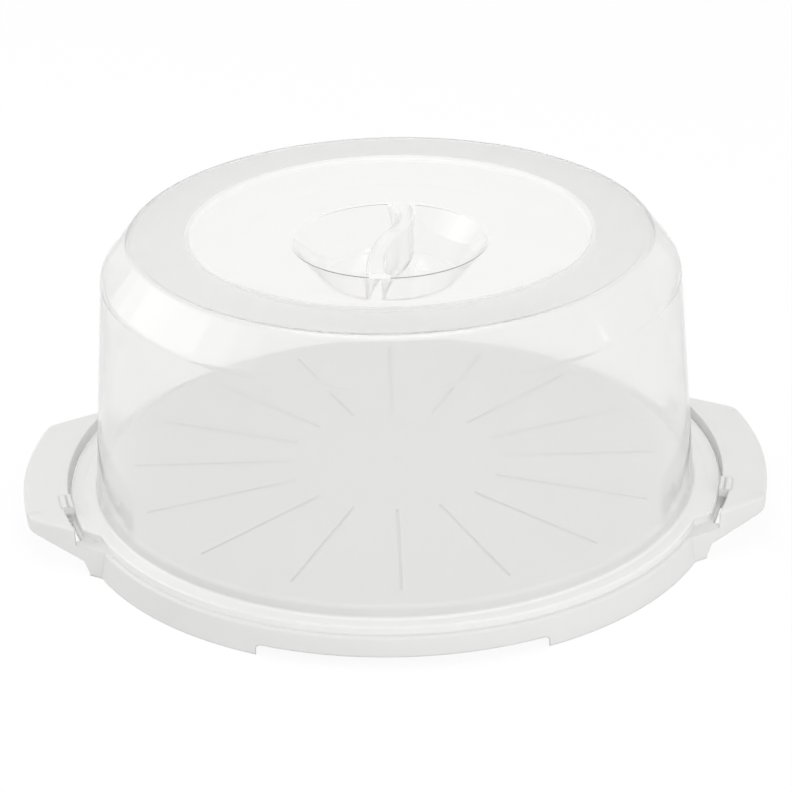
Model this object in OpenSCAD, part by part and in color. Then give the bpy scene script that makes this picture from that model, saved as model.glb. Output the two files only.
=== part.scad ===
// Round cake carrier: a white tray with two wing handles and a clear cover with a sunk S grip.
// Units are millimetres, +Z is up, and the origin is the middle of the tray at table level.
// X runs through the two handles and -Y is the front.

/* [Tray] */
// Radius of the tray's skirt where it stands on the table
skirt_r = 155; // [150:1:160]
// How far the skirt leans out between the seat and the table
skirt_flare = 1.2; // [0.6:0.2:2]
// Level of the ledge that the cover stands on
seat_z = 14.2; // [13:0.2:15]
// Level of the cake plate
plate_z = 23.4; // [22.4:0.2:25]
// Wall thickness of the tray
tray_t = 1.8; // [1.6:0.1:2]

/* [Slice marks] */
// Number of slice marks on the plate
mark_count = 16; // [8:2:20]
// Radius where the slice marks start
mark_in_r = 52; // [40:1:60]
// Radius where the slice marks end
mark_out_r = 127; // [115:1:130]
// Width of a slice mark
mark_w = 0.9; // [0.6:0.1:1.2]
// Depth of a slice mark
mark_deep = 0.5; // [0.3:0.1:0.7]

/* [Skirt cut-outs] */
// Half of the angle that each lifting cut-out covers
cut_half_angle = 25; // [18:1:30]
// Height of the lifting cut-outs
cut_h = 5; // [3:0.5:6]

/* [Handles] */
// Radius of the outer edge of the handles
handle_r = 180; // [176:1:186]
// Level of the top of the handles
handle_z = 22.4; // [21.4:0.2:23.4]
// Half width of a handle where it leaves the skirt
handle_root_half = 69.4; // [66:0.2:72]
// Half width of a handle at its outer edge
handle_tip_half = 49; // [44:1:53]
// Radius of the handles' outer corners
handle_corner_r = 10; // [7:1:14]
// Level of the handle's lower edge near the skirt
grip_root_z = 7; // [5:0.5:8]
// Level of the handle's lower edge at its tip
grip_tip_z = 17.6; // [14:0.2:18]

/* [Cover] */
// Level of the cover's flat top
cover_top_z = 145; // [130:1:165]
// Wall thickness of the cover
cover_t = 1.5; // [1.3:0.1:1.7]
// Ledge left outside the cover's flange
ledge_w = 2.2; // [1.6:0.2:3]
// Width of the flange round the foot of the cover
flange_w = 6.5; // [5.5:0.5:8]
// Height of the flange over the seat
flange_h = 4; // [3.4:0.2:4.4]
// How far the cover's wall leans in between flange and shoulder
wall_lean = 9; // [6:0.5:12]
// Height of the sloping shoulder
shoulder_h = 17.8; // [14:0.2:22]
// Width of the sloping shoulder
shoulder_w = 13.9; // [10:0.1:18]
// Radius of the step ring on the top
ring_r = 94.9; // [90:0.1:100]
// Radius of the flat bottom of the dish
dish_r = 72; // [64:1:80]
// Depth of the dish under the flat top
dish_deep = 6; // [4:0.5:8]

/* [Cover lugs] */
// How far a lug reaches out past the flange
lug_out = 6; // [5:0.2:6.4]
// Half of the angle that a lug covers
lug_half_angle = 20.5; // [18:0.5:21.5]

/* [Well and grip] */
// Radius of the well's mouth
well_r = 45.7; // [42:0.1:50]
// Radius of the well's floor
well_floor_r = 31; // [28:0.5:34]
// Depth of the well under the dish
well_deep = 18; // [15:0.5:20]
// Width of the grip at its middle
grip_w = 7.4; // [6.6:0.2:9]
// Width of the grip where it runs into the well's wall
grip_end_w = 12; // [10:0.5:14]
// How far the grip sways to each side
grip_sway = 7.4; // [5:0.2:8]
// Radius of the grip's two bends
grip_turn_r = 66; // [60:1:72]
// Rise of the grip's middle over the well's mouth
grip_crown = 3.6; // [2:0.2:4.6]

/* [Clearances] */
// Free height between the cover's foot and the seat
seat_gap = 0.3; // [0.2:0.1:0.5]
// Free width between a lug and the wall of its pocket
pocket_gap = 1.2; // [0.8:0.1:1.6]
// Free width between a lug and its catch nib
nib_gap = 0.4; // [0.3:0.1:0.6]
// Free width between the plate and the foot of the cover's wall
plate_gap = 1.8; // [1.2:0.1:2.4]

/* [Hidden] */
$fn = 128;
sides = [0, 180];
arc_steps = 5;

// Tray levels and radii
rim_r = skirt_r - skirt_flare;
rim_edge_r = 1.4;
flange_r = rim_r - ledge_w;
wall_foot_r = flange_r - flange_w;
plate_edge_r = wall_foot_r - cover_t - plate_gap;
plate_edge_round = 2;
plate_draft = 0.4;
seat_round = 1;
below = 3;
skirt_foot_r = skirt_r + skirt_flare * below / seat_z;

// Ribs under the tray
rib_t = 1.4;
rib_h = 5;
rib_count = 8;
rib_ring_r = mark_in_r + 2;
wing_rib_angles = [-12, 0, 12];
wing_rib_lift = 1;
gate_r = 1.6;

// Cover levels
cover_foot_z = seat_z + seat_gap;
flange_z = cover_foot_z + flange_h;
shoulder_z = cover_top_z - shoulder_h;
shoulder_r = wall_foot_r - wall_lean;
top_edge_r = shoulder_r - shoulder_w;
dish_z = cover_top_z - dish_deep;
well_floor_z = dish_z - well_deep;
ring_step = 1.2;
ring_run = 1;
dish_steps = 8;
dish_power = 1.8;
flange_round = 1.1;
wall_foot_round = 1.6;
shoulder_round = 6;
top_edge_round = 5;
well_round = 3;
well_edge_round = 1.6;

// Lugs and pockets
lug_r = flange_r + lug_out;
lug_flank = 3.2;
pocket_r = lug_r + pocket_gap;
pocket_step = 4;
catch_start = 10;
catch_end = 14.6;
slot_end = 21.2;
slot_web = 0.4;
nib_rise = 0.7;
nib_h = 4.4;
nib_groove_w = 0.9;
nib_groove_deep = 0.7;
handle_edge_r = 1.5;
wedge_foot_z = 1.6;
wedge_step_w = 2.4;
far = 300;
over = 1;

// Grip
grip_edge_r = 2.2;
grip_lead = acos(1 - grip_sway / grip_turn_r);
grip_end_turn = asin((well_r + cover_t - grip_turn_r * sin(grip_lead)) / grip_turn_r);
grip_fall = atan(grip_crown / well_r);
flare_drop = 0.4;

function unit(v) = v / norm(v);
function left_of(a, b) = let (d = unit(b - a)) [-d[1], d[0]];

// Points of a rounded corner at b, between a and c
function corner(a, b, c, r) =
    let (u = unit(a - b))
    let (v = unit(c - b))
    let (half = acos(u * v) / 2)
    let (mid = b + unit(u + v) * r / sin(half))
    let (s = b + u * r / tan(half) - mid)
    let (e = b + v * r / tan(half) - mid)
    let (a0 = atan2(s[1], s[0]))
    let (turn = atan2(s[0] * e[1] - s[1] * e[0], s * e))
    [for (k = [0:arc_steps]) mid + r * [cos(a0 + turn * k / arc_steps), sin(a0 + turn * k / arc_steps)]];

// Path with its inner corners rounded; a radius of 0 keeps a corner sharp
function rounded(p, radii) = [
    for (i = [0:len(p) - 1])
        for (q = radii[i] == 0 ? [p[i]] : corner(p[i - 1], p[i], p[i + 1], radii[i])) q
];

// Path moved sideways by t, to its left for a positive t
function beside(p, t) = [
    for (i = [0:len(p) - 1])
        let (n0 = left_of(p[max(i - 1, 0)], p[max(i, 1)]))
        let (n1 = left_of(p[min(i, len(p) - 2)], p[min(i + 1, len(p) - 1)]))
        let (m = unit(n0 + n1))
        p[i] + m * t / (m * n0)
];

function backwards(p) = [for (i = [len(p) - 1:-1:0]) p[i]];

// Ring section between a path and the same path moved in by the wall thickness
module skin(path, t, floor_z) {
    intersection() {
        polygon(concat(path, backwards(beside(path, -t))));
        translate([0, floor_z]) square([far, far]);
    }
}

// Sector of the plan between two angles, out to radius r
module sector(r, a0, a1) {
    intersection() {
        circle(r);
        polygon([[0, 0], far * [cos(a0), sin(a0)], far * [cos(a1), sin(a1)]]);
    }
}

// Outer line of the tray, from the middle of the plate down to the foot of the skirt
tray_path = rounded(
    [
        [0, plate_z],
        [plate_edge_r, plate_z],
        [plate_edge_r + plate_draft, seat_z],
        [rim_r, seat_z],
        [skirt_foot_r, -below]
    ],
    [0, plate_edge_round, seat_round, rim_edge_r, 0]);

// The side line of a handle runs from the skirt to the outer edge
side_root = [sqrt(pow(skirt_r, 2) - pow(handle_root_half, 2)), handle_root_half];
side_tip = [sqrt(pow(handle_r, 2) - pow(handle_tip_half, 2)), handle_tip_half];
side_dir = unit(side_tip - side_root);
side_in = [side_dir[1], -side_dir[0]];
corner_start = side_root + side_in * handle_corner_r;
corner_along = corner_start * side_dir;
corner_run = sqrt(pow(corner_along, 2) - pow(norm(corner_start), 2) + pow(handle_r - handle_corner_r, 2));
corner_mid = corner_start + side_dir * (corner_run - corner_along);
corner_angle = atan2(corner_mid[1], corner_mid[0]);
corner_end = atan2(-side_in[1], -side_in[0]);
side_back = 30;

function flipped(p) = [p[0], -p[1]];

// Section of a block between two radii, with a rounded outer top edge
module block_section(x_in, x_out, z0, z1, edge) {
    polygon(concat(
        [[x_in, z0], [x_out, z0]],
        corner([x_out, z0], [x_out, z1], [0, z1], edge),
        x_in < x_out - edge ? [[x_in, z1]] : []));
}

// Rounded rim along one side line of the handle, from the corner back into the skirt
module wing_side(inset, z0, z1, edge) {
    run = norm(corner_mid - corner_start) + side_back;
    side_x = handle_corner_r - inset;
    translate([corner_mid[0], corner_mid[1], 0])
        rotate([0, 0, corner_end])
            rotate([90, 0, 0])
                translate([0, 0, -run]) linear_extrude(run)
                    block_section(side_x - edge, side_x, z0, z1, edge);
}

// Round outer corner of the handle
module wing_corner(inset, z0, z1, edge) {
    translate([corner_mid[0], corner_mid[1], 0])
        rotate([0, 0, corner_angle])
            rotate_extrude(angle = corner_end - corner_angle)
                block_section(0, handle_corner_r - inset, z0, z1, edge);
}

// Handle block, moved in by inset, with a rounded top edge
module wing_block(inset, z0, z1, edge) {
    foot = corner_mid - side_in * (handle_corner_r - inset - edge);
    back = foot - side_dir * (norm(corner_mid - corner_start) + side_back);
    inner = corner_mid + [handle_corner_r / 4, 0];
    middle = [handle_r - handle_corner_r, 0];
    translate([0, 0, z0]) linear_extrude(z1 - z0)
        polygon([back, foot, inner, middle, flipped(inner), flipped(foot), flipped(back)]);
    rotate([0, 0, -corner_angle])
        rotate_extrude(angle = 2 * corner_angle)
            block_section(handle_r - 1.5 * handle_corner_r, handle_r - inset, z0, z1, edge);
    for (k = [0, 1])
        mirror([0, k, 0]) {
            wing_side(inset, z0, z1, edge);
            wing_corner(inset, z0, z1, edge);
        }
}

// Plan of the cavity under the floor of the pocket
module low_cavity_plan() {
    back = corner_start - side_dir * side_back + side_in * (tray_t - handle_corner_r);
    foot = corner_mid - side_in * (handle_corner_r - tray_t);
    polygon([back, foot, flipped(foot), flipped(back)]);
}

// Plan of the pocket for a lug, widened beside the catch nib; grow adds the wall round it
module pocket_plan(grow) {
    grow_angle = grow / pocket_r * 180 / PI;
    circle(pocket_r + grow);
    sector(pocket_r + pocket_step + grow, -catch_start + grow_angle, -2 * lug_half_angle);
}

// Wedge of free finger space under a handle
module finger_wedge() {
    root_x = side_root[0] + lug_out;
    step_x = root_x + wedge_step_w;
    tip_rise = (grip_tip_z - grip_root_z) / (handle_r - step_x);
    rotate([90, 0, 0]) linear_extrude(2 * far, center = true)
        polygon([
            [root_x, -below],
            [root_x, wedge_foot_z],
            [step_x, grip_root_z],
            [far, grip_root_z + (far - step_x) * tip_rise],
            [far, -below]
        ]);
}

// One handle with its pocket; the pocket's wide end lies at the front
module wing() {
    difference() {
        wing_block(0, 0, handle_z, handle_edge_r);
        translate([0, 0, seat_z]) linear_extrude(far) pocket_plan(0);
        difference() {
            wing_block(tray_t, -below, handle_z - tray_t, handle_edge_r);
            translate([0, 0, -2 * below]) linear_extrude(far) pocket_plan(tray_t);
        }
        translate([0, 0, -below]) linear_extrude(seat_z - tray_t + below) low_cavity_plan();
        finger_wedge();
        catch_slot();
        translate([0, 0, -below])
            cylinder(r1 = skirt_foot_r - tray_t / 2, r2 = rim_r - tray_t / 2, h = seat_z + below);
    }
    wing_ribs();
    catch_nib();
}

// Slot through the pocket's floor, in front of the catch nib
module catch_slot() {
    translate([0, 0, -below]) linear_extrude(seat_z + 2 * below)
        difference() {
            sector(pocket_r + pocket_step, -catch_end, -slot_end);
            circle(pocket_r + slot_web);
        }
}

// Small nib over the lug's edge that holds the cover down
module catch_nib() {
    nib_in_r = lug_r + nib_gap;
    nib_out_r = pocket_r + pocket_step;
    groove_r = (nib_in_r + nib_out_r) / 2;
    difference() {
        translate([0, 0, handle_z + nib_rise - nib_h]) linear_extrude(nib_h)
            difference() {
                sector(nib_out_r + tray_t / 2, -catch_start, -catch_end);
                circle(nib_in_r);
            }
        translate([0, 0, handle_z + nib_rise - nib_groove_deep]) linear_extrude(far)
            difference() {
                circle(groove_r + nib_groove_w / 2);
                circle(groove_r - nib_groove_w / 2);
            }
    }
}

// Stiffening ribs under the top of a handle
module wing_ribs() {
    difference() {
        for (a = wing_rib_angles)
            rotate([0, 0, a])
                translate([pocket_r, -rib_t / 2, seat_z - tray_t])
                    cube([handle_r - tray_t / 2 - pocket_r, rib_t, handle_z - tray_t / 2 - seat_z + tray_t]);
        translate([0, 0, seat_z]) linear_extrude(far) pocket_plan(tray_t / 2);
        translate([0, 0, wing_rib_lift]) finger_wedge();
    }
}

// Lifting cut-out in the skirt at the front and the back
module skirt_cut() {
    half_w = rim_r * sin(cut_half_angle);
    round_r = cut_h / 2;
    rotate([90, 0, 0]) linear_extrude(far)
        difference() {
            translate([-half_w, -below]) square([2 * half_w, cut_h + below]);
            for (s = [-1, 1])
                translate([s * half_w, cut_h])
                    difference() {
                        square(2 * round_r, center = true);
                        translate([-s * round_r, -round_r]) circle(round_r);
                    }
        }
}

// Radial and ring ribs under the plate
module plate_ribs() {
    translate([0, 0, plate_z - tray_t / 2 - rib_h]) {
        for (i = [0:rib_count - 1])
            rotate([0, 0, 360 / rib_count * i])
                translate([rib_ring_r, -rib_t / 2, 0])
                    cube([plate_edge_r - tray_t / 2 - rib_ring_r, rib_t, rib_h]);
        difference() {
            cylinder(r = rib_ring_r + rib_t / 2, h = rib_h);
            translate([0, 0, -over]) cylinder(r = rib_ring_r - rib_t / 2, h = rib_h + 2 * over);
        }
    }
}

// Slice marks and the small gate mark at the middle of the plate
module slice_marks() {
    for (i = [0:mark_count - 1])
        rotate([0, 0, 360 / mark_count * i])
            translate([mark_in_r, -mark_w / 2, plate_z - mark_deep])
                cube([mark_out_r - mark_in_r, mark_w, mark_deep + over]);
    translate([0, 0, plate_z - mark_deep]) cylinder(r = gate_r, h = mark_deep + over);
}

module tray() {
    color([0.93, 0.94, 0.94])
        difference() {
            union() {
                rotate_extrude() skin(tray_path, tray_t, 0);
                plate_ribs();
                wing();
                mirror([1, 0, 0]) wing();
            }
            slice_marks();
            for (a = sides) rotate([0, 0, a]) skirt_cut();
        }
}

// Rise of the dish from its flat bottom to the step ring
dish_rise = dish_deep - ring_step;
dish_run = ring_r - ring_run - dish_r;
dish_slope = [
    for (k = [1:dish_steps])
        [dish_r + dish_run * k / dish_steps, dish_z + dish_rise * pow(k / dish_steps, dish_power)]
];

cover_path = concat(
    rounded(
        [
            [0, well_floor_z],
            [well_floor_r, well_floor_z],
            [well_r, dish_z],
            [dish_r, dish_z]
        ],
        [0, well_round, well_edge_round, 0]),
    dish_slope,
    rounded(
        [
            [ring_r, cover_top_z],
            [top_edge_r, cover_top_z],
            [shoulder_r, shoulder_z],
            [wall_foot_r, flange_z],
            [flange_r, flange_z],
            [flange_r, cover_foot_z - below]
        ],
        [0, top_edge_round, shoulder_round, wall_foot_round, flange_round, 0]));

// Plan of the lug; inset moves its edges in by the wall thickness
module lug_plan(inset) {
    flank = lug_half_angle + lug_flank;
    tip = lug_r * [cos(lug_half_angle), sin(lug_half_angle)];
    root = (flange_r - over) * [cos(flank), sin(flank)];
    dir = unit(tip - root);
    inward = [dir[1], -dir[0]] * inset;
    a = root - dir * side_back + inward;
    b = tip + dir * side_back + inward;
    intersection() {
        circle(lug_r - inset);
        polygon([a, b, flipped(b), flipped(a)]);
    }
}

// Lug that widens the flange into the pocket of a handle
module lug() {
    difference() {
        intersection() {
            rotate_extrude() block_section(wall_foot_r, lug_r, cover_foot_z, flange_z, flange_round);
            translate([0, 0, cover_foot_z]) linear_extrude(flange_h) lug_plan(0);
        }
        translate([0, 0, cover_foot_z - over]) linear_extrude(flange_h + over - cover_t) lug_plan(cover_t);
        translate([0, 0, cover_foot_z - over]) cylinder(r = flange_r - cover_t / 2, h = flange_h + 2 * over);
    }
}

// Cross section of the grip, moved in by inset, standing at the turn radius
module grip_section(inset) {
    edge = grip_edge_r - inset / 2;
    in_x = grip_turn_r - grip_w / 2 + inset;
    out_x = grip_turn_r + grip_w / 2 - inset;
    foot = -well_deep - grip_crown - 2 * below;
    polygon(concat(
        [[in_x, foot]],
        corner([in_x, foot], [in_x, -inset], [grip_turn_r, -inset], edge),
        corner([grip_turn_r, -inset], [out_x, -inset], [out_x, foot], edge),
        [[out_x, foot]]));
}

// Half of the S: one bend that starts at the middle of the well and falls to its mouth
module half_grip(inset) {
    translate([0, 0, dish_z + grip_crown])
        rotate([-grip_fall, 0, 0])
            translate([-grip_turn_r * cos(grip_lead), grip_turn_r * sin(grip_lead), 0])
                rotate([0, 0, -grip_lead]) rotate_extrude(angle = grip_lead + grip_end_turn) grip_section(inset);
}

module s_bar(inset) {
    for (a = sides) rotate([0, 0, a]) half_grip(inset);
}

// Flare where the grip runs into the wall of the well
module grip_flares() {
    side_r = (grip_end_w - grip_w) / 2;
    end_x = grip_turn_r * (cos(grip_end_turn) - cos(grip_lead));
    for (a = sides)
        rotate([0, 0, a])
            translate([end_x, well_r, well_floor_z - cover_t])
                linear_extrude(well_deep + cover_t - flare_drop)
                    difference() {
                        translate([-grip_end_w / 2, -side_r]) square([grip_end_w, 2 * side_r]);
                        for (s = [-1, 1])
                            translate([s * (grip_w / 2 + side_r), -side_r]) circle(side_r);
                    }
}

// Cone that fills the well, grown into its wall and floor by the given amount
module well_core(grow) {
    slope = (well_r - well_floor_r) / well_deep;
    h = well_deep + grow + grip_crown + over;
    translate([0, 0, well_floor_z - grow])
        cylinder(r1 = well_floor_r + grow - grow * slope, r2 = well_floor_r + grow + (h - grow) * slope, h = h);
}

// S grip across the well
module s_grip() {
    intersection() {
        union() {
            s_bar(0);
            grip_flares();
        }
        well_core(cover_t / 2);
    }
}

// Hollow of the grip, open to the underside of the cover
module s_hollow() {
    intersection() {
        s_bar(cover_t);
        union() {
            well_core(cover_t / 4);
            translate([0, 0, well_floor_z - 2 * below]) cylinder(r = well_floor_r - well_round, h = 3 * below);
        }
    }
}

module cover() {
    color([0.9, 0.93, 0.95, 0.35])
        difference() {
            union() {
                rotate_extrude() skin(cover_path, cover_t, cover_foot_z);
                for (a = sides) rotate([0, 0, a]) lug();
                s_grip();
            }
            s_hollow();
        }
}

tray();
cover();
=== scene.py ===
"""Looks of the round cake carrier: a clear cover with a sunk S grip on a white tray."""

import math

import bmesh
import bpy
from mathutils import Matrix, Vector


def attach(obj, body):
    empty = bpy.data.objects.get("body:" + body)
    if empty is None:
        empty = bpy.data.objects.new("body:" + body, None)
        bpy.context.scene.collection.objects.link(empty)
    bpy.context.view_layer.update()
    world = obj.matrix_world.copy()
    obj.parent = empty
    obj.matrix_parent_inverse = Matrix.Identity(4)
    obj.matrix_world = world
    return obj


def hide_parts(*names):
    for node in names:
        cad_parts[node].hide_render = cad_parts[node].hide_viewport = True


bl_info = {
    "name": "Round cake carrier",
    "version": (1, 0, 0),
    "blender": (4, 5, 0),
    "location": "View3D > Sidebar > Cake carrier",
    "description": "Clear cover and white tray of a round cake carrier, with a pale studio stage",
    "category": "Object",
}

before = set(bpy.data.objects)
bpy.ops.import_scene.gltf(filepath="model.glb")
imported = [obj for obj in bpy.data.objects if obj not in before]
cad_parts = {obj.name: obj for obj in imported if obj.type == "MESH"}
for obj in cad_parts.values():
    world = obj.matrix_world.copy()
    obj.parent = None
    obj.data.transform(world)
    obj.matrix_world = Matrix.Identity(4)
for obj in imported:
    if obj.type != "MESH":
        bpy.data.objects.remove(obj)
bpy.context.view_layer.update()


def colour_property(name, description, default):
    """A colour that the sidebar shows as a swatch."""
    return bpy.props.FloatVectorProperty(
        name=name, description=description, default=default, subtype="COLOR", size=3, min=0, max=1)


def share_property(name, description, default):
    """A share from nothing to all."""
    return bpy.props.FloatProperty(
        name=name, description=description, default=default, min=0, max=1, subtype="FACTOR")


def power_property(name, description, default):
    """The power of a light in watts."""
    return bpy.props.FloatProperty(
        name=name, description=description, default=default, min=0, unit="POWER")


class CarrierCoverSettings(bpy.types.PropertyGroup):
    """Colours and finishes of the cover"""

    tint: colour_property("Tint", "Colour of the clear plastic", (0.95, 0.95, 0.945))
    # Painted light: the dish and the well take a whiter tint than the wall, for the light they
    # catch.
    dish_painted_light_tint: colour_property("Dish tint", "Colour of the dish and the well", (1.0, 0.998, 0.992))
    # Painted light: the ring on top takes a tint a little lighter than the wall.
    ring_painted_light_tint: colour_property("Satin tint", "Colour of the satin ring", (0.975, 0.975, 0.968))
    roughness: share_property("Roughness", "Roughness of the moulded surface", 0.07)
    satin: share_property("Satin", "Roughness of the satin ring on its top", 0.25)
    haze: share_property("Haze", "How milky the clear plastic is", 0.07)
    # Painted light: the grip is made milkier than the wall, to show light grey.
    grip_painted_light_haze: share_property("Grip haze", "How milky the grip is", 0.4)
    # Painted light: the flange and the lugs are made milkier, to show light over the shaded
    # pockets.
    foot_painted_light_haze: share_property("Foot haze", "How milky the flange and the lugs are", 0.6)
    # Painted highlight: the rims of ring, well and lugs are made almost wholly milky, to show
    # bright lines.
    rim_painted_highlight_haze: share_property("Rim haze", "How milky the rims of ring, well and lugs are", 0.95)


class CarrierTraySettings(bpy.types.PropertyGroup):
    """Colour and finish of the tray"""

    white: colour_property("White", "Colour of the tray's plastic", (0.84, 0.84, 0.828))
    roughness: share_property("Roughness", "Roughness of the moulded surface", 0.3)


class CarrierStageSettings(bpy.types.PropertyGroup):
    """Floor and lights of the stage"""

    floor: colour_property("Floor", "Colour of the floor", (0.93, 0.93, 0.93))
    world: share_property("World light", "Strength of the light from all round", 0.58)
    key: power_property("Key light", "Power of the wide soft light at the left", 1.6)
    core: power_property("Key core", "Power of the brighter middle of the light at the left", 0.85)
    top: power_property("Top light", "Power of the light over the object", 3.6)
    fill: power_property("Fill light", "Power of the soft light in front at the right", 9.5)
    side: power_property("Side light", "Power of the small light at the right", 0.02)


# Sizes of the cover in millimetres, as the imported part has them

MM = 0.001
WALL = 1.5
FOOT_Z, FLANGE_Z, SHOULDER_Z, TOP_Z = 14.5, 18.5, 127.2, 145.0
DISH_Z, FLOOR_Z = 139.0, 121.0
FLANGE_R, WALL_FOOT_R, SHOULDER_R, TOP_EDGE_R = 151.6, 145.1, 136.1, 122.2
RING_R, STEP_W, DISH_R = 94.9, 1.0, 72.0
SLOPE_RISE, SLOPE_POWER, SLOPE_STEPS = 4.8, 1.8, 24
WELL_R, WELL_FLOOR_R = 45.7, 31.0
LUG_R, LUG_HALF_ANGLE, LUG_FLANK, LUG_EDGE, LUG_STEPS = 157.6, 20.5, 3.2, 1.1, 40
GRIP_W, GRIP_END_W, GRIP_SWAY, GRIP_TURN_R, GRIP_CROWN = 7.4, 13.0, 7.4, 66.0, 3.6
GRIP_EDGE, GRIP_FOOT, GRIP_DRAFT, GRIP_FOOT_H, GRIP_STEPS = 2.4, 0.5, 0.12, 4, 48
FLARE_START = 0.45
WELL_ROUNDS = [0, 3, 1.6, 0]
TOP_ROUNDS = [0, 0.5, 0.5, 5, 6, 1.6, LUG_EDGE, 0]
ROUND_STEPS, WELL_STEPS, TURN_STEPS = 8, 192, 256
OVER = 1.0
HOLLOW_OVER = 6.0
SHARP_ANGLE = 32

# Where the finishes of the cover change, in millimetres from its edges: the milkier grip and foot
# are painted light, the milkier rims a painted highlight

LUG_RIM = 1.3
RING_RIM, RING_RIM_H = 1.6, 4
WELL_RIM, WELL_RIM_H = 2.6, 2.4
GRIP_RIM = 0.62 * GRIP_W

# The tray's plate, whose top is painted lighter than the rest of the tray, so that its slice
# grooves show as painted shade

PAINTED_LIGHT_R, PAINTED_LIGHT_LOW_Z, PAINTED_LIGHT_HIGH_Z = 129, 22.0, 23.3
PLATE_PAINTED_LIGHT, WIPE_LIGHT = 1.1, 0.975

# Shared by both plastics

PLASTIC_IOR = 1.49
FROM_MIDDLE = -5


# Outlines

def rounded(path, radii):
    """A flat path with its corners turned into arcs; a radius of 0 keeps a corner."""
    points = []
    for i, corner in enumerate(path):
        if not radii[i]:
            points.append(Vector(corner))
            continue
        b = Vector(corner)
        u = (Vector(path[i - 1]) - b).normalized()
        v = (Vector(path[i + 1]) - b).normalized()
        half = u.angle(v) / 2
        middle = b + (u + v).normalized() * radii[i] / math.sin(half)
        start = b + u * radii[i] / math.tan(half) - middle
        end = b + v * radii[i] / math.tan(half) - middle
        turn = math.atan2(start.cross(end), start.dot(end))
        for k in range(ROUND_STEPS + 1):
            points.append(middle + Matrix.Rotation(turn * k / ROUND_STEPS, 2) @ start)
    return points


def beside(path, gap):
    """The path moved sideways by gap, to its left."""
    moved = []
    for i, point in enumerate(path):
        before = (point - path[i - 1]) if i else (path[1] - point)
        after = (path[i + 1] - point) if i + 1 < len(path) else before
        n0 = Vector((-before.y, before.x)).normalized()
        n1 = Vector((-after.y, after.x)).normalized()
        n = (n0 + n1).normalized()
        moved.append(point + n * gap / n.dot(n0))
    return moved


def cover_outline():
    """The cover's outer line from the middle of the well to its foot."""
    well = rounded(
        [(0, FLOOR_Z), (WELL_FLOOR_R, FLOOR_Z), (WELL_R, DISH_Z), (DISH_R, DISH_Z)], WELL_ROUNDS)
    step_r = RING_R - STEP_W
    slope = []
    for k in range(1, SLOPE_STEPS):
        out = (step_r - DISH_R) * k / SLOPE_STEPS
        up = SLOPE_RISE * (k / SLOPE_STEPS) ** SLOPE_POWER
        slope.append(Vector((DISH_R + out, DISH_Z + up)))
    rest = rounded(
        [slope[-1], (step_r, DISH_Z + SLOPE_RISE), (RING_R, TOP_Z), (TOP_EDGE_R, TOP_Z),
         (SHOULDER_R, SHOULDER_Z), (WALL_FOOT_R, FLANGE_Z), (FLANGE_R, FLANGE_Z),
         (FLANGE_R, FOOT_Z)],
        TOP_ROUNDS)
    return well + slope + rest[1:]


def arc(radius, start, end, z, steps):
    """Points along an arc round Z, at one level."""
    return [(radius * math.cos(a), radius * math.sin(a), z)
            for a in (start + (end - start) * k / steps for k in range(steps + 1))]


# Meshes

def set_input(modifier, label, value):
    """A Geometry Nodes input, found by its label and set by its identifier."""
    for item in modifier.node_group.interface.items_tree:
        if item.item_type == "SOCKET" and item.in_out == "INPUT" and item.name == label:
            modifier[item.identifier] = value
            return
    raise RuntimeError(f"no input {label}")


def node_tree(name, inputs):
    """An empty Geometry Nodes tree with its named inputs."""
    tree = bpy.data.node_groups.new(name, "GeometryNodeTree")
    tree.interface.new_socket("Geometry", in_out="OUTPUT", socket_type="NodeSocketGeometry")
    tree.interface.new_socket("Geometry", in_out="INPUT", socket_type="NodeSocketGeometry")
    for label, kind, default in inputs:
        socket = tree.interface.new_socket(label, in_out="INPUT", socket_type=kind)
        if default is not None:
            socket.default_value = default
    return tree, add(tree, "NodeGroupInput", (-1200, 0)), add(tree, "NodeGroupOutput", (1400, 0))


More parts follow.
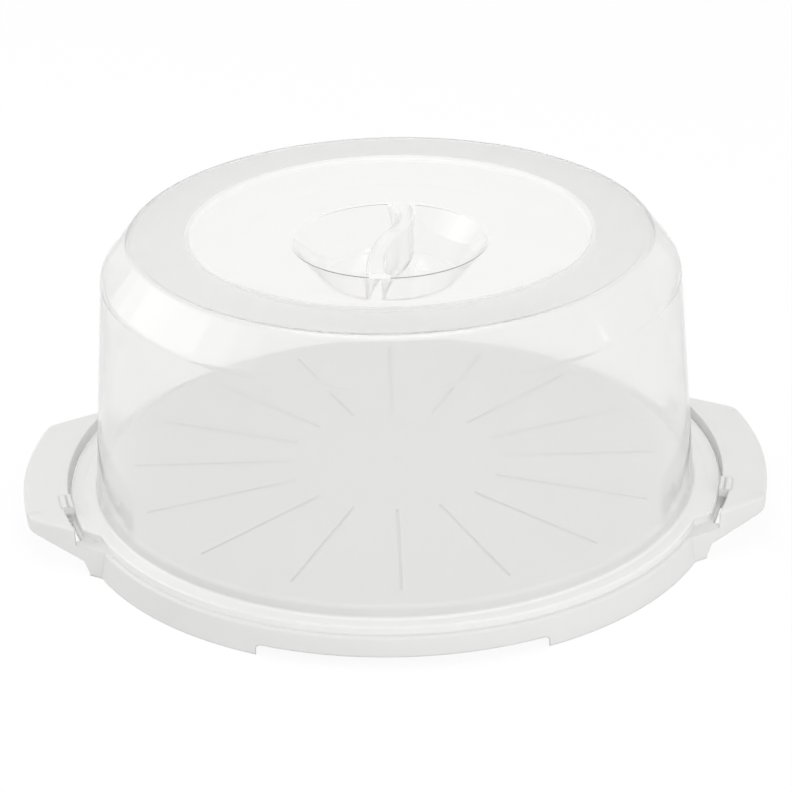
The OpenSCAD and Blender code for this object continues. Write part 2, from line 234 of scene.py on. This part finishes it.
def turned_tree():
    """Turns a line of points round Z: each point becomes a ring, and poles and seam close."""
    tree, given, result = node_tree(
        "Turned wall",
        [("Segments", "NodeSocketInt", TURN_STEPS), ("Material", "NodeSocketMaterial", None)])
    link = tree.links.new
    size = add(tree, "GeometryNodeAttributeDomainSize", (-900, 300), component="MESH")
    rows = add(tree, "ShaderNodeMath", (-700, 100), operation="ADD")
    rows.inputs[1].default_value = 1
    grid = add(tree, "GeometryNodeMeshGrid", (-500, 300))
    index = add(tree, "GeometryNodeInputIndex", (-900, -100))
    line = add(tree, "ShaderNodeMath", (-500, -50), operation="DIVIDE")
    which = add(tree, "ShaderNodeMath", (-300, -50), operation="FLOOR")
    back = add(tree, "ShaderNodeMath", (-300, -250), operation="MODULO")
    share = add(tree, "ShaderNodeMath", (-100, -250), operation="DIVIDE")
    angle = add(tree, "ShaderNodeMath", (100, -250), operation="MULTIPLY")
    angle.inputs[1].default_value = math.tau
    place = add(tree, "GeometryNodeInputPosition", (-500, -450))
    sample = add(
        tree, "GeometryNodeSampleIndex", (-100, 50), data_type="FLOAT_VECTOR", domain="POINT")
    turn = add(tree, "ShaderNodeVectorRotate", (300, 0), rotation_type="Z_AXIS")
    move = add(tree, "GeometryNodeSetPosition", (500, 300))
    close = add(tree, "GeometryNodeMergeByDistance", (700, 300))
    close.inputs["Distance"].default_value = 1e-6
    real = add(tree, "GeometryNodeRealizeInstances", (900, 300))
    finish = add(tree, "GeometryNodeSetMaterial", (1100, 300))
    link(given.outputs["Geometry"], size.inputs["Geometry"])
    link(size.outputs["Point Count"], grid.inputs["Vertices X"])
    link(given.outputs["Segments"], rows.inputs[0])
    link(rows.outputs[0], grid.inputs["Vertices Y"])
    link(index.outputs[0], line.inputs[0])
    link(rows.outputs[0], line.inputs[1])
    link(line.outputs[0], which.inputs[0])
    link(index.outputs[0], back.inputs[0])
    link(rows.outputs[0], back.inputs[1])
    link(back.outputs[0], share.inputs[0])
    link(given.outputs["Segments"], share.inputs[1])
    link(share.outputs[0], angle.inputs[0])
    link(given.outputs["Geometry"], sample.inputs["Geometry"])
    link(place.outputs[0], sample.inputs["Value"])
    link(which.outputs[0], sample.inputs["Index"])
    link(sample.outputs["Value"], turn.inputs["Vector"])
    link(angle.outputs[0], turn.inputs["Angle"])
    link(grid.outputs["Mesh"], move.inputs["Geometry"])
    link(turn.outputs["Vector"], move.inputs["Position"])
    link(move.outputs["Geometry"], close.inputs["Geometry"])
    link(close.outputs["Geometry"], real.inputs["Geometry"])
    link(real.outputs["Geometry"], finish.inputs["Geometry"])
    link(given.outputs["Material"], finish.inputs["Material"])
    link(finish.outputs["Geometry"], result.inputs["Geometry"])
    return tree


def linked_object(name, mesh):
    """An object at the origin that holds the mesh."""
    made = bpy.data.objects.new(name, mesh)
    bpy.context.scene.collection.objects.link(made)
    return made


def settle(made):
    """The object's modifiers become plain mesh."""
    graph = bpy.context.evaluated_depsgraph_get()
    mesh = bpy.data.meshes.new_from_object(made.evaluated_get(graph))
    made.modifiers.clear()
    old = made.data
    made.data = mesh
    bpy.data.meshes.remove(old)
    return made


def outward(mesh):
    """Doubles merged and every face turned outwards."""
    work = bmesh.new()
    work.from_mesh(mesh)
    bmesh.ops.remove_doubles(work, verts=work.verts, dist=1e-6)
    bmesh.ops.recalc_face_normals(work, faces=work.faces)
    if work.calc_volume(signed=True) < 0:
        bmesh.ops.reverse_faces(work, faces=work.faces)
    work.to_mesh(mesh)
    work.free()


def turned_wall(name, outline, material):
    """A solid of revolution from an outline in millimetres that starts and ends on the axis."""
    mesh = bpy.data.meshes.new(name)
    edges = [(i, i + 1) for i in range(len(outline) - 1)]
    mesh.from_pydata([(p.x * MM, 0, p.y * MM) for p in outline], edges, [])
    made = linked_object(name, mesh)
    modifier = made.modifiers.new("Turned wall", "NODES")
    modifier.node_group = turned_tree()
    set_input(modifier, "Segments", TURN_STEPS)
    set_input(modifier, "Material", material)
    settle(made)
    outward(made.data)
    return made


def lofted(name, rings):
    """A closed solid through rings of points in millimetres, each as many points round."""
    work = bmesh.new()
    rows = [[work.verts.new(Vector(p) * MM) for p in ring] for ring in rings]
    count = len(rows[0])
    for low, high in zip(rows, rows[1:]):
        for k in range(count):
            work.faces.new((low[k], low[(k + 1) % count], high[(k + 1) % count], high[k]))
    work.faces.new(rows[0][::-1])
    work.faces.new(rows[-1])
    bmesh.ops.recalc_face_normals(work, faces=work.faces)
    if work.calc_volume(signed=True) < 0:
        bmesh.ops.reverse_faces(work, faces=work.faces)
    mesh = bpy.data.meshes.new(name)
    work.to_mesh(mesh)
    work.free()
    return linked_object(name, mesh)


def combine(made, tool, operation):
    """Joins the tool's solid to the object's, or takes it away, and drops the tool."""
    step = made.modifiers.new(operation, "BOOLEAN")
    step.operation = operation
    step.solver = "EXACT"
    step.object = tool
    settle(made)
    mesh = tool.data
    bpy.data.objects.remove(tool)
    bpy.data.meshes.remove(mesh)


def smooth(made):
    """Smooth faces with sharp edges kept, and wide faces leading the normals."""
    mesh = made.data
    mesh.shade_smooth()
    mesh.set_sharp_from_angle(angle=math.radians(SHARP_ANGLE))
    weigh = made.modifiers.new("Weighted normals", "WEIGHTED_NORMAL")
    weigh.keep_sharp = True
    weigh.weight = 60
    settle(made)


def lug_ring(inset, z):
    """Outline of a lug at one level, moved in by inset, from its outer edge back to its root."""
    flank = math.radians(LUG_HALF_ANGLE + LUG_FLANK)
    half = math.radians(LUG_HALF_ANGLE)
    tip = Vector((math.cos(half), math.sin(half))) * LUG_R
    root = Vector((math.cos(flank), math.sin(flank))) * (FLANGE_R - OVER)
    side = (tip - root).normalized()
    reach = LUG_R - inset
    start = root - side * WALL + Vector((side.y, -side.x)) * inset
    along = start.dot(side)
    cut = start + side * (-along + math.sqrt(along * along - start.length_squared + reach * reach))
    outer_end = math.atan2(cut.y, cut.x)
    inner_end = math.atan2(start.y, start.x)
    return (arc(reach, outer_end, -outer_end, z, LUG_STEPS)
            + arc(FLANGE_R - WALL / 2, -inner_end, inner_end, z, LUG_STEPS))


def lug(sign):
    """A hollow lug that widens the flange into the pocket of a handle."""
    rings = [lug_ring(0, FOOT_Z)]
    for a in (math.radians(15 * k) for k in range(7)):
        z = FLANGE_Z - LUG_EDGE + LUG_EDGE * math.sin(a)
        rings.append(lug_ring(LUG_EDGE * (1 - math.cos(a)), z))
    made = lofted("lug", rings)
    hollow = lofted("lug hollow", [lug_ring(WALL, FOOT_Z - OVER), lug_ring(WALL, FLANGE_Z - WALL)])
    combine(made, hollow, "DIFFERENCE")
    if sign < 0:
        made.data.transform(Matrix.Rotation(math.pi, 4, "Z"))
    return made


def grip_line():
    """Middle line of the S grip from rear to front: place, bearing and share of the way out."""
    lead = math.acos(1 - GRIP_SWAY / GRIP_TURN_R)
    end = math.asin((WELL_R + WALL - GRIP_TURN_R * math.sin(lead)) / GRIP_TURN_R)
    half = []
    for k in range(GRIP_STEPS + 1):
        a = -lead + (lead + end) * k / GRIP_STEPS
        place = Vector((GRIP_TURN_R * (math.cos(a) - math.cos(lead)),
                        GRIP_TURN_R * (math.sin(a) + math.sin(lead))))
        half.append((place, Vector((-math.sin(a), math.cos(a))), place.length / WELL_R))
    front = [(-place, way, share) for place, way, share in half[1:]]
    return half[::-1] + front


def grip_solid(name, inset, floor_z):
    """The S grip as a swept rib: narrow and high in the middle, wide and low at the well's wall."""
    edge = GRIP_EDGE - inset / 2
    rings = []
    for place, way, share in grip_line():
        across = Vector((way.y, -way.x))
        flare = max(0.0, (share - FLARE_START) / (1 - FLARE_START))
        width = GRIP_W / 2 + (GRIP_END_W - GRIP_W) / 2 * flare * flare - inset
        top = DISH_Z + GRIP_CROWN * (1 - share) - inset
        half = [(width + GRIP_FOOT, floor_z), (width + GRIP_DRAFT, floor_z + GRIP_FOOT_H)]
        for a in (math.radians(12 * k) for k in range(8)):
            half.append((width - edge + edge * math.cos(a), top - edge + edge * math.sin(a)))
        half.append((width - edge, top))
        ring = []
        for x, z in half + [(-x, z) for x, z in half[::-1]]:
            spot = place + across * x
            ring.append((spot.x, spot.y, z))
        rings.append(ring)
    return lofted(name, rings)


def well_plug(grow):
    """The well filled up, with its wall moved outwards by grow."""
    slope = (WELL_R - WELL_FLOOR_R) / (DISH_Z - FLOOR_Z)
    rings = []
    for z in (FLOOR_Z - grow, TOP_Z):
        r = WELL_FLOOR_R + grow + (z - FLOOR_Z) * slope
        rings.append(arc(r, 0, math.tau, z, WELL_STEPS)[:-1])
    return lofted("plug", rings)


def cover_solid():
    """The whole cover: turned wall, two lugs and the hollow S grip across the well."""
    outer = cover_outline()
    inner = beside(outer, -WALL)
    inner[0] = Vector((0, inner[0].y))
    inner[-1] = Vector((inner[-1].x, FOOT_Z))
    plain = bpy.data.materials.new("Plain plastic")
    cover = turned_wall("cover_shell", outer + inner[::-1], plain)
    grip = grip_solid("grip", 0, FLOOR_Z - OVER)
    combine(grip, well_plug(WALL / 2), "INTERSECT")
    hollow = grip_solid("grip hollow", WALL, FLOOR_Z - HOLLOW_OVER)
    combine(hollow, well_plug(WALL / 4 + HOLLOW_OVER), "INTERSECT")
    combine(cover, grip, "UNION")
    for sign in (1, -1):
        combine(cover, lug(sign), "UNION")
    combine(cover, hollow, "DIFFERENCE")
    outward(cover.data)
    smooth(cover)
    return cover


# Nodes and materials

def add(tree, kind, at=(0, 0), **values):
    """A node with its plain values set."""
    node = tree.nodes.new(kind)
    node.location = at
    for key, value in values.items():
        setattr(node, key, value)
    return node


def effect_group(name, inputs, outputs):
    """A shader node group with named sockets, and its input and output nodes."""
    group = bpy.data.node_groups.new(name, "ShaderNodeTree")
    for label, kind, default in inputs:
        socket = group.interface.new_socket(label, in_out="INPUT", socket_type=kind)
        if default is not None:
            socket.default_value = default
    for label, kind in outputs:
        group.interface.new_socket(label, in_out="OUTPUT", socket_type=kind)
    given = add(group, "NodeGroupInput", (-900, 0))
    return group, given, add(group, "NodeGroupOutput", (700, 0))


def moulding_group():
    """Fine unevenness of a moulded wall: a soft waviness, tiny pits and faint wipe marks."""
    if "Moulded surface" in bpy.data.node_groups:
        return bpy.data.node_groups["Moulded surface"]
    group, given, result = effect_group(
        "Moulded surface",
        [
            ("Wave scale", "NodeSocketFloat", 14.0),
            ("Pit scale", "NodeSocketFloat", 900.0),
            ("Pits", "NodeSocketFloat", 0.25),
            ("Roughness", "NodeSocketFloat", 0.3),
            ("Spread", "NodeSocketFloat", 0.08),
        ],
        [
            ("Height", "NodeSocketFloat"),
            ("Roughness", "NodeSocketFloat"),
            ("Mask", "NodeSocketFloat"),
        ],
    )
    link = group.links.new
    place = add(group, "ShaderNodeTexCoord", (-900, 300))
    wave = add(group, "ShaderNodeTexNoise", (-600, 300))
    wave.inputs["Detail"].default_value = 2
    pits = add(group, "ShaderNodeTexNoise", (-600, 50))
    pits.inputs["Detail"].default_value = 3
    wipes = add(group, "ShaderNodeTexNoise", (-600, -200))
    wipes.inputs["Scale"].default_value = 38
    wipes.inputs["Detail"].default_value = 6
    wipes.inputs["Roughness"].default_value = 0.62
    link(place.outputs["Object"], wave.inputs["Vector"])
    link(place.outputs["Object"], pits.inputs["Vector"])
    link(place.outputs["Object"], wipes.inputs["Vector"])
    link(given.outputs["Wave scale"], wave.inputs["Scale"])
    link(given.outputs["Pit scale"], pits.inputs["Scale"])
    height = add(group, "ShaderNodeMath", (-200, 200), operation="MULTIPLY_ADD")
    link(pits.outputs["Fac"], height.inputs[0])
    link(given.outputs["Pits"], height.inputs[1])
    link(wave.outputs["Fac"], height.inputs[2])
    low = add(group, "ShaderNodeMath", (-200, -50), operation="SUBTRACT")
    link(given.outputs["Roughness"], low.inputs[0])
    link(given.outputs["Spread"], low.inputs[1])
    high = add(group, "ShaderNodeMath", (-200, -220), operation="ADD")
    link(given.outputs["Roughness"], high.inputs[0])
    link(given.outputs["Spread"], high.inputs[1])
    rough = add(group, "ShaderNodeMapRange", (150, -100))
    rough.inputs["From Min"].default_value = 0.35
    rough.inputs["From Max"].default_value = 0.68
    link(wipes.outputs["Fac"], rough.inputs["Value"])
    link(low.outputs[0], rough.inputs["To Min"])
    link(high.outputs[0], rough.inputs["To Max"])
    link(height.outputs[0], result.inputs["Height"])
    link(rough.outputs["Result"], result.inputs["Roughness"])
    link(wipes.outputs["Fac"], result.inputs["Mask"])
    return group


def new_material(name):
    """An empty node material with its shader and output."""
    material = bpy.data.materials.new(name)
    material.use_nodes = True
    tree = material.node_tree
    tree.nodes.clear()
    out = add(tree, "ShaderNodeOutputMaterial", (900, 0))
    shader = add(tree, "ShaderNodeBsdfPrincipled", (500, 0))
    tree.links.new(shader.outputs["BSDF"], out.inputs["Surface"])
    return material, tree, shader


def band_group():
    """A share that rises over one band of radius and falls over another, at one band of height."""
    if "Round band" in bpy.data.node_groups:
        return bpy.data.node_groups["Round band"]
    group, given, result = effect_group(
        "Round band",
        [
            ("Inner", "NodeSocketFloat", 0.05),
            ("Outer", "NodeSocketFloat", 0.1),
            ("Low", "NodeSocketFloat", 0.0),
            ("High", "NodeSocketFloat", 0.1),
            ("Softness", "NodeSocketFloat", 0.001),
        ],
        [("Share", "NodeSocketFloat")],
    )
    link = group.links.new
    place = add(group, "ShaderNodeTexCoord", (-900, 300))
    flat = add(group, "ShaderNodeVectorMath", (-700, 300), operation="MULTIPLY")
    flat.inputs[1].default_value = (1, 1, 0)
    radius = add(group, "ShaderNodeVectorMath", (-500, 300), operation="LENGTH")
    split = add(group, "ShaderNodeSeparateXYZ", (-700, 100))
    link(place.outputs["Object"], flat.inputs[0])
    link(flat.outputs[0], radius.inputs[0])
    link(place.outputs["Object"], split.inputs[0])
    steps = []
    measures = ((radius.outputs["Value"], "Inner", "Outer"), (split.outputs["Z"], "Low", "High"))
    for row, (value, low, high) in enumerate(measures):
        ends = ((value, given.outputs[low]), (given.outputs[high], value))
        for col, (over, under) in enumerate(ends):
            x, y = -250 + 170 * col, 250 - 300 * row
            rise = add(group, "ShaderNodeMath", (x, y), operation="SUBTRACT")
            share = add(group, "ShaderNodeMath", (x, y - 140), operation="DIVIDE", use_clamp=True)
            link(over, rise.inputs[0])
            link(under, rise.inputs[1])
            link(rise.outputs[0], share.inputs[0])
            link(given.outputs["Softness"], share.inputs[1])
            steps.append(share.outputs[0])
    product = steps[0]
    for k, step in enumerate(steps[1:]):
        both = add(group, "ShaderNodeMath", (200 + 150 * k, 0), operation="MULTIPLY")
        link(product, both.inputs[0])
        link(step, both.inputs[1])
        product = both.outputs[0]
    link(product, result.inputs["Share"])
    return group


def band(tree, at, inner, outer, low, high, softness):
    """The share of a round band, from radii and levels in millimetres."""
    node = add(tree, "ShaderNodeGroup", at, node_tree=band_group())
    values = {"Inner": inner, "Outer": outer, "Low": low, "High": high, "Softness": softness}
    for label, value in values.items():
        node.inputs[label].default_value = value * MM
    return node.outputs["Share"]


def tray_material(settings):
    """White moulded plastic with a silky sheen, and a plate whose top is painted lighter so that
    its slice grooves show as painted shade.
    """
    material, tree, shader = new_material("White moulded plastic")
    link = tree.links.new
    surface = add(tree, "ShaderNodeGroup", (-400, -200), node_tree=moulding_group())
    surface.inputs["Wave scale"].default_value = 18
    surface.inputs["Pit scale"].default_value = 1400
    surface.inputs["Pits"].default_value = 0.12
    surface.inputs["Roughness"].default_value = settings.roughness
    surface.inputs["Spread"].default_value = 0.015
    tone = add(tree, "ShaderNodeMix", (-100, 200), data_type="RGBA")
    tone.inputs["A"].default_value = (*settings.white, 1)
    tone.inputs["B"].default_value = (*(WIPE_LIGHT * c for c in settings.white), 1)
    link(surface.outputs["Mask"], tone.inputs["Factor"])
    # Painted light: the plate's top is lifted lighter, and the slice grooves below it keep the
    # plain white as painted shade.
    plate_light_paint = add(tree, "ShaderNodeMix", (150, 200), data_type="RGBA")
    plate_light_paint.inputs["B"].default_value = (*(PLATE_PAINTED_LIGHT * c for c in settings.white), 1)
    plate = band(tree, (-400, 400), FROM_MIDDLE, PAINTED_LIGHT_R, PAINTED_LIGHT_LOW_Z, PAINTED_LIGHT_HIGH_Z, 0.05)
    link(plate, plate_light_paint.inputs["Factor"])
    link(tone.outputs["Result"], plate_light_paint.inputs["A"])
    link(plate_light_paint.outputs["Result"], shader.inputs["Base Color"])
    link(surface.outputs["Roughness"], shader.inputs["Roughness"])
    edge = add(tree, "ShaderNodeBevel", (-100, -550), samples=4)
    edge.inputs["Radius"].default_value = 0.0012
    bump = add(tree, "ShaderNodeBump", (100, -400))
    bump.inputs["Strength"].default_value = 0.05
    bump.inputs["Distance"].default_value = 0.002
    link(edge.outputs["Normal"], bump.inputs["Normal"])
    link(surface.outputs["Height"], bump.inputs["Height"])
    link(bump.outputs["Normal"], shader.inputs["Normal"])
    shader.inputs["IOR"].default_value = PLASTIC_IOR
    shader.inputs["Subsurface Weight"].default_value = 0.5
    shader.inputs["Subsurface Radius"].default_value = (0.6, 0.6, 0.6)
    shader.inputs["Subsurface Scale"].default_value = 0.003
    return material


def cover_material(name, settings, haze):
    """Clear moulded plastic, more or less milky, with a satin ring round a dish; ring and dish are
    tinted lighter than the wall as painted light.
    """
    material, tree, shader = new_material(name)
    link = tree.links.new
    surface = add(tree, "ShaderNodeGroup", (-700, -200), node_tree=moulding_group())
    surface.inputs["Wave scale"].default_value = 9
    surface.inputs["Pit scale"].default_value = 700
    surface.inputs["Pits"].default_value = 0.0004
    surface.inputs["Roughness"].default_value = settings.roughness
    surface.inputs["Spread"].default_value = 0.03
    bump = add(tree, "ShaderNodeBump", (100, -400))
    bump.inputs["Strength"].default_value = 0.05
    bump.inputs["Distance"].default_value = 0.001
    link(surface.outputs["Height"], bump.inputs["Height"])
    link(bump.outputs["Normal"], shader.inputs["Normal"])
    dish = band(tree, (-700, 600), FROM_MIDDLE, RING_R, FLOOR_Z - 4, TOP_Z + 1, 1.5)
    ring = band(tree, (-700, 350), RING_R, TOP_EDGE_R + 2, TOP_Z - 3, TOP_Z + 1, 1.5)
    # Painted light: the dish and the well take a whiter tint than the wall.
    dish_painted_light = add(tree, "ShaderNodeMix", (-400, 500), data_type="RGBA")
    dish_painted_light.inputs["A"].default_value = (*settings.tint, 1)
    dish_painted_light.inputs["B"].default_value = (*settings.dish_painted_light_tint, 1)
    # Painted light: the ring on top takes a tint a little lighter than the wall.
    satin = add(tree, "ShaderNodeMix", (-150, 500), data_type="RGBA")
    satin.inputs["B"].default_value = (*settings.ring_painted_light_tint, 1)
    matt = add(tree, "ShaderNodeMix", (-150, 200), data_type="FLOAT")
    matt.inputs["B"].default_value = settings.satin
    link(dish, dish_painted_light.inputs["Factor"])
    link(dish_painted_light.outputs["Result"], satin.inputs["A"])
    link(ring, satin.inputs["Factor"])
    link(satin.outputs["Result"], shader.inputs["Base Color"])
    link(surface.outputs["Roughness"], matt.inputs["A"])
    link(ring, matt.inputs["Factor"])
    link(matt.outputs["Result"], shader.inputs["Roughness"])
    shader.inputs["IOR"].default_value = PLASTIC_IOR
    shader.inputs["Transmission Weight"].default_value = 1 - haze
    path = add(tree, "ShaderNodeLightPath", (-300, 800))
    soft = add(tree, "ShaderNodeMath", (-100, 800), operation="MAXIMUM")
    link(path.outputs["Is Shadow Ray"], soft.inputs[0])
    link(path.outputs["Is Diffuse Ray"], soft.inputs[1])
    solid = add(tree, "ShaderNodeMapRange", (150, 800))
    solid.inputs["To Min"].default_value = 1
    solid.inputs["To Max"].default_value = 0.03
    link(soft.outputs[0], solid.inputs["Value"])
    link(solid.outputs["Result"], shader.inputs["Alpha"])
    return material


def cover_part(spot, line):
    """Which finish a face of the cover takes by its place: 0 wall, 1 grip, 2 foot, 3 rim; grip and
    foot are milkier as painted light, the rims as painted highlight.
    """
    flat = spot.to_2d()
    r = flat.length
    at_foot = spot.z < FLANGE_Z + OVER
    lug_edge = at_foot and r > LUG_R - LUG_RIM
    ring_edge = abs(r - RING_R + STEP_W / 2) < RING_RIM and spot.z > TOP_Z - RING_RIM_H
    well_edge = abs(r - WELL_R) < WELL_RIM and abs(spot.z - DISH_Z + OVER) < WELL_RIM_H
    if lug_edge or ring_edge or well_edge:
        return 3
    if at_foot and r > WALL_FOOT_R - WALL:
        return 2
    in_well = r < WELL_R and spot.z > FLOOR_Z + OVER
    if in_well and min((flat - place).length for place in line) < GRIP_RIM:
        return 1
    return 0


def finish_cover(cover, settings):
    """The clear wall, and the milkier grip, foot and rims, each with its own finish: grip and foot
    painted light, the rims a painted highlight.
    """
    mesh = cover.data
    mesh.materials.clear()
    # Grip and foot are made milkier as painted light, the rims as painted highlight.
    for name, haze in (
            ("Clear moulded plastic", settings.haze), ("Grip with painted light", settings.grip_painted_light_haze),
            ("Foot with painted light", settings.foot_painted_light_haze), ("Rim with painted highlight", settings.rim_painted_highlight_haze)):
        mesh.materials.append(cover_material(name, settings, haze))
    line = [place for place, _, _ in grip_line()]
    for face in mesh.polygons:
        face.material_index = cover_part(face.center / MM, line)


def dress(node_name, material):
    """The finish of a CAD node goes into its own material slots."""
    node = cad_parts[node_name]
    if not node.material_slots:
        raise RuntimeError(f"{node_name} has no material slot")
    for slot in node.material_slots:
        slot.material = material


class CARRIER_OT_tray(bpy.types.Operator):
    """Give the tray its white moulded plastic"""

    bl_idname = "carrier.tray"
    bl_label = "Tray"

    def execute(self, context):
        dress("tray", tray_material(context.scene.carrier_tray))
        return {"FINISHED"}


class CARRIER_OT_cover(bpy.types.Operator):
    """Give the cover its clear moulded plastic"""

    bl_idname = "carrier.cover"
    bl_label = "Cover"

    def execute(self, context):
        cover = cover_solid()
        finish_cover(cover, context.scene.carrier_cover)
        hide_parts("cover")
        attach(cover, "cover")
        return {"FINISHED"}


# Stage

CAMERA_AT = Vector((-0.01360, -1.12346, 0.60081))
CAMERA_AZIMUTH = -0.0131776
CAMERA_PITCH = 0.4507366
CAMERA_ROLL = -0.0214573
CAMERA_LENS = 117.713
FLOOR_REACH = 6


def aim(position, azimuth, pitch, roll):
    """Where a camera stands and how it is turned, from its bearing, downward pitch and roll."""
    ahead = Vector((
        -math.sin(azimuth) * math.cos(pitch),
        math.cos(azimuth) * math.cos(pitch),
        -math.sin(pitch)))
    level = Vector((math.cos(azimuth), math.sin(azimuth), 0))
    over = level.cross(ahead)
    right = math.cos(roll) * level + math.sin(roll) * over
    up = -math.sin(roll) * level + math.cos(roll) * over
    turn = Matrix((right, up, -ahead)).transposed().to_4x4()
    return Matrix.Translation(position) @ turn


def soft_light(name, at, height, size, power):
    """A rectangular soft light at one point, turned to a height over the middle of the stage."""
    lamp = bpy.data.lights.new(name, "AREA")
    lamp.shape = "RECTANGLE"
    lamp.size, lamp.size_y = size
    lamp.energy = power
    light = bpy.data.objects.new(name, lamp)
    light.location = at
    ahead = Vector((0, 0, height)) - Vector(at)
    light.rotation_euler = ahead.to_track_quat("-Z", "Y").to_euler()
    bpy.context.scene.collection.objects.link(light)
    return light


def seen_through(tree, at):
    """One where a ray from the camera, a reflection or a clear wall arrives, else zero."""
    path = add(tree, "ShaderNodeLightPath", at)
    first = add(tree, "ShaderNodeMath", (at[0] + 200, at[1]), operation="MAXIMUM")
    both = add(tree, "ShaderNodeMath", (at[0] + 400, at[1]), operation="MAXIMUM")
    tree.links.new(path.outputs["Is Camera Ray"], first.inputs[0])
    tree.links.new(path.outputs["Is Glossy Ray"], first.inputs[1])
    tree.links.new(first.outputs[0], both.inputs[0])
    tree.links.new(path.outputs["Is Transmission Ray"], both.inputs[1])
    return both.outputs[0]


def white_world(settings):
    """White where it is seen, and a plain level of light everywhere else."""
    world = bpy.data.worlds.new("Studio")
    world.use_nodes = True
    tree = world.node_tree
    tree.nodes.clear()
    out = add(tree, "ShaderNodeOutputWorld", (600, 0))
    back = add(tree, "ShaderNodeBackground", (400, 0))
    level = add(tree, "ShaderNodeMapRange", (200, 0))
    level.inputs["To Min"].default_value = settings.world
    level.inputs["To Max"].default_value = 1
    back.inputs["Color"].default_value = (1, 1, 1, 1)
    tree.links.new(seen_through(tree, (-400, 0)), level.inputs["Value"])
    tree.links.new(level.outputs["Result"], back.inputs["Strength"])
    tree.links.new(back.outputs["Background"], out.inputs["Surface"])
    bpy.context.scene.world = world


def floor_material(settings):
    """Plain pale floor that shows as white and keeps a soft shadow."""
    material, tree, shader = new_material("Pale floor")
    shader.inputs["Base Color"].default_value = (*settings.floor, 1)
    shader.inputs["Roughness"].default_value = 0.9
    shader.inputs["Specular IOR Level"].default_value = 0.1
    white = add(tree, "ShaderNodeEmission", (500, 300))
    white.inputs["Strength"].default_value = 1.02
    share = add(tree, "ShaderNodeMath", (300, 300), operation="MULTIPLY")
    share.inputs[1].default_value = 0.9
    mix = add(tree, "ShaderNodeMixShader", (700, 200))
    tree.links.new(seen_through(tree, (-400, 300)), share.inputs[0])
    tree.links.new(share.outputs[0], mix.inputs["Fac"])
    tree.links.new(shader.outputs["BSDF"], mix.inputs[1])
    tree.links.new(white.outputs["Emission"], mix.inputs[2])
    tree.links.new(mix.outputs["Shader"], tree.nodes["Material Output"].inputs["Surface"])
    return material


class CARRIER_OT_stage(bpy.types.Operator):
    """Set up the pale floor, the soft lights and the camera"""

    bl_idname = "carrier.stage"
    bl_label = "Stage"

    def execute(self, context):
        scene = context.scene
        settings = scene.carrier_stage
        camera = bpy.data.objects.new("Camera", bpy.data.cameras.new("Camera"))
        camera.data.sensor_width = 36
        camera.data.lens = CAMERA_LENS
        camera.data.clip_end = 50
        camera.matrix_world = aim(CAMERA_AT, CAMERA_AZIMUTH, CAMERA_PITCH, CAMERA_ROLL)
        scene.collection.objects.link(camera)
        scene.camera = camera
        scene.view_settings.view_transform = "Standard"
        white_world(settings)
        mesh = bpy.data.meshes.new("Floor")
        corners = ((-1, -1), (1, -1), (1, 1), (-1, 1))
        mesh.from_pydata(
            [(x * FLOOR_REACH, y * FLOOR_REACH, 0) for x, y in corners], [], [(0, 1, 2, 3)])
        mesh.materials.append(floor_material(settings))
        floor = bpy.data.objects.new("Floor", mesh)
        scene.collection.objects.link(floor)
        soft_light("Key light", (-1.05, 0.2, 0.6), 0.1, (1.5, 1.0), settings.key)
        soft_light("Key middle", (-1.04, 0.2, 0.6), 0.1, (1.05, 0.7), settings.core)
        soft_light("Key core", (-1.03, 0.2, 0.6), 0.1, (0.6, 0.4), settings.core / 2)
        soft_light("Top light", (0.0, 0.1, 1.4), 0.1, (0.9, 0.9), settings.top)
        fill = soft_light("Fill light", (0.8, -1.5, 0.85), 0.05, (1.0, 0.8), settings.fill)
        fill.visible_glossy = fill.visible_transmission = False
        soft_light("Side light", (1.0, -0.03, 0.57), 0.1, (0.05, 0.12), settings.side)
        return {"FINISHED"}


class CARRIER_PT_panel(bpy.types.Panel):
    """Lists the steps and settings of the cake carrier"""

    bl_idname = "CARRIER_PT_panel"
    bl_label = "Cake carrier"
    bl_space_type = "VIEW_3D"
    bl_region_type = "UI"
    bl_category = "Cake carrier"

    def draw(self, context):
        for title, settings, step in (
                ("Tray", context.scene.carrier_tray, "carrier.tray"),
                ("Cover", context.scene.carrier_cover, "carrier.cover"),
                ("Stage", context.scene.carrier_stage, "carrier.stage")):
            box = self.layout.box()
            box.label(text=title)
            for name in settings.bl_rna.properties.keys():
                if name not in ("rna_type", "name"):
                    box.prop(settings, name)
            box.operator(step)


CLASSES = (
    CarrierCoverSettings,
    CarrierTraySettings,
    CarrierStageSettings,
    CARRIER_OT_tray,
    CARRIER_OT_cover,
    CARRIER_OT_stage,
    CARRIER_PT_panel,
)


def register():
    for cls in CLASSES:
        bpy.utils.register_class(cls)
    bpy.types.Scene.carrier_cover = bpy.props.PointerProperty(type=CarrierCoverSettings)
    bpy.types.Scene.carrier_tray = bpy.props.PointerProperty(type=CarrierTraySettings)
    bpy.types.Scene.carrier_stage = bpy.props.PointerProperty(type=CarrierStageSettings)


def unregister():
    del bpy.types.Scene.carrier_stage
    del bpy.types.Scene.carrier_tray
    del bpy.types.Scene.carrier_cover
    for cls in reversed(CLASSES):
        bpy.utils.unregister_class(cls)


def main():
    register()
    bpy.ops.carrier.tray()
    bpy.ops.carrier.cover()
    bpy.ops.carrier.stage()


if __name__ == "__main__":
    main()
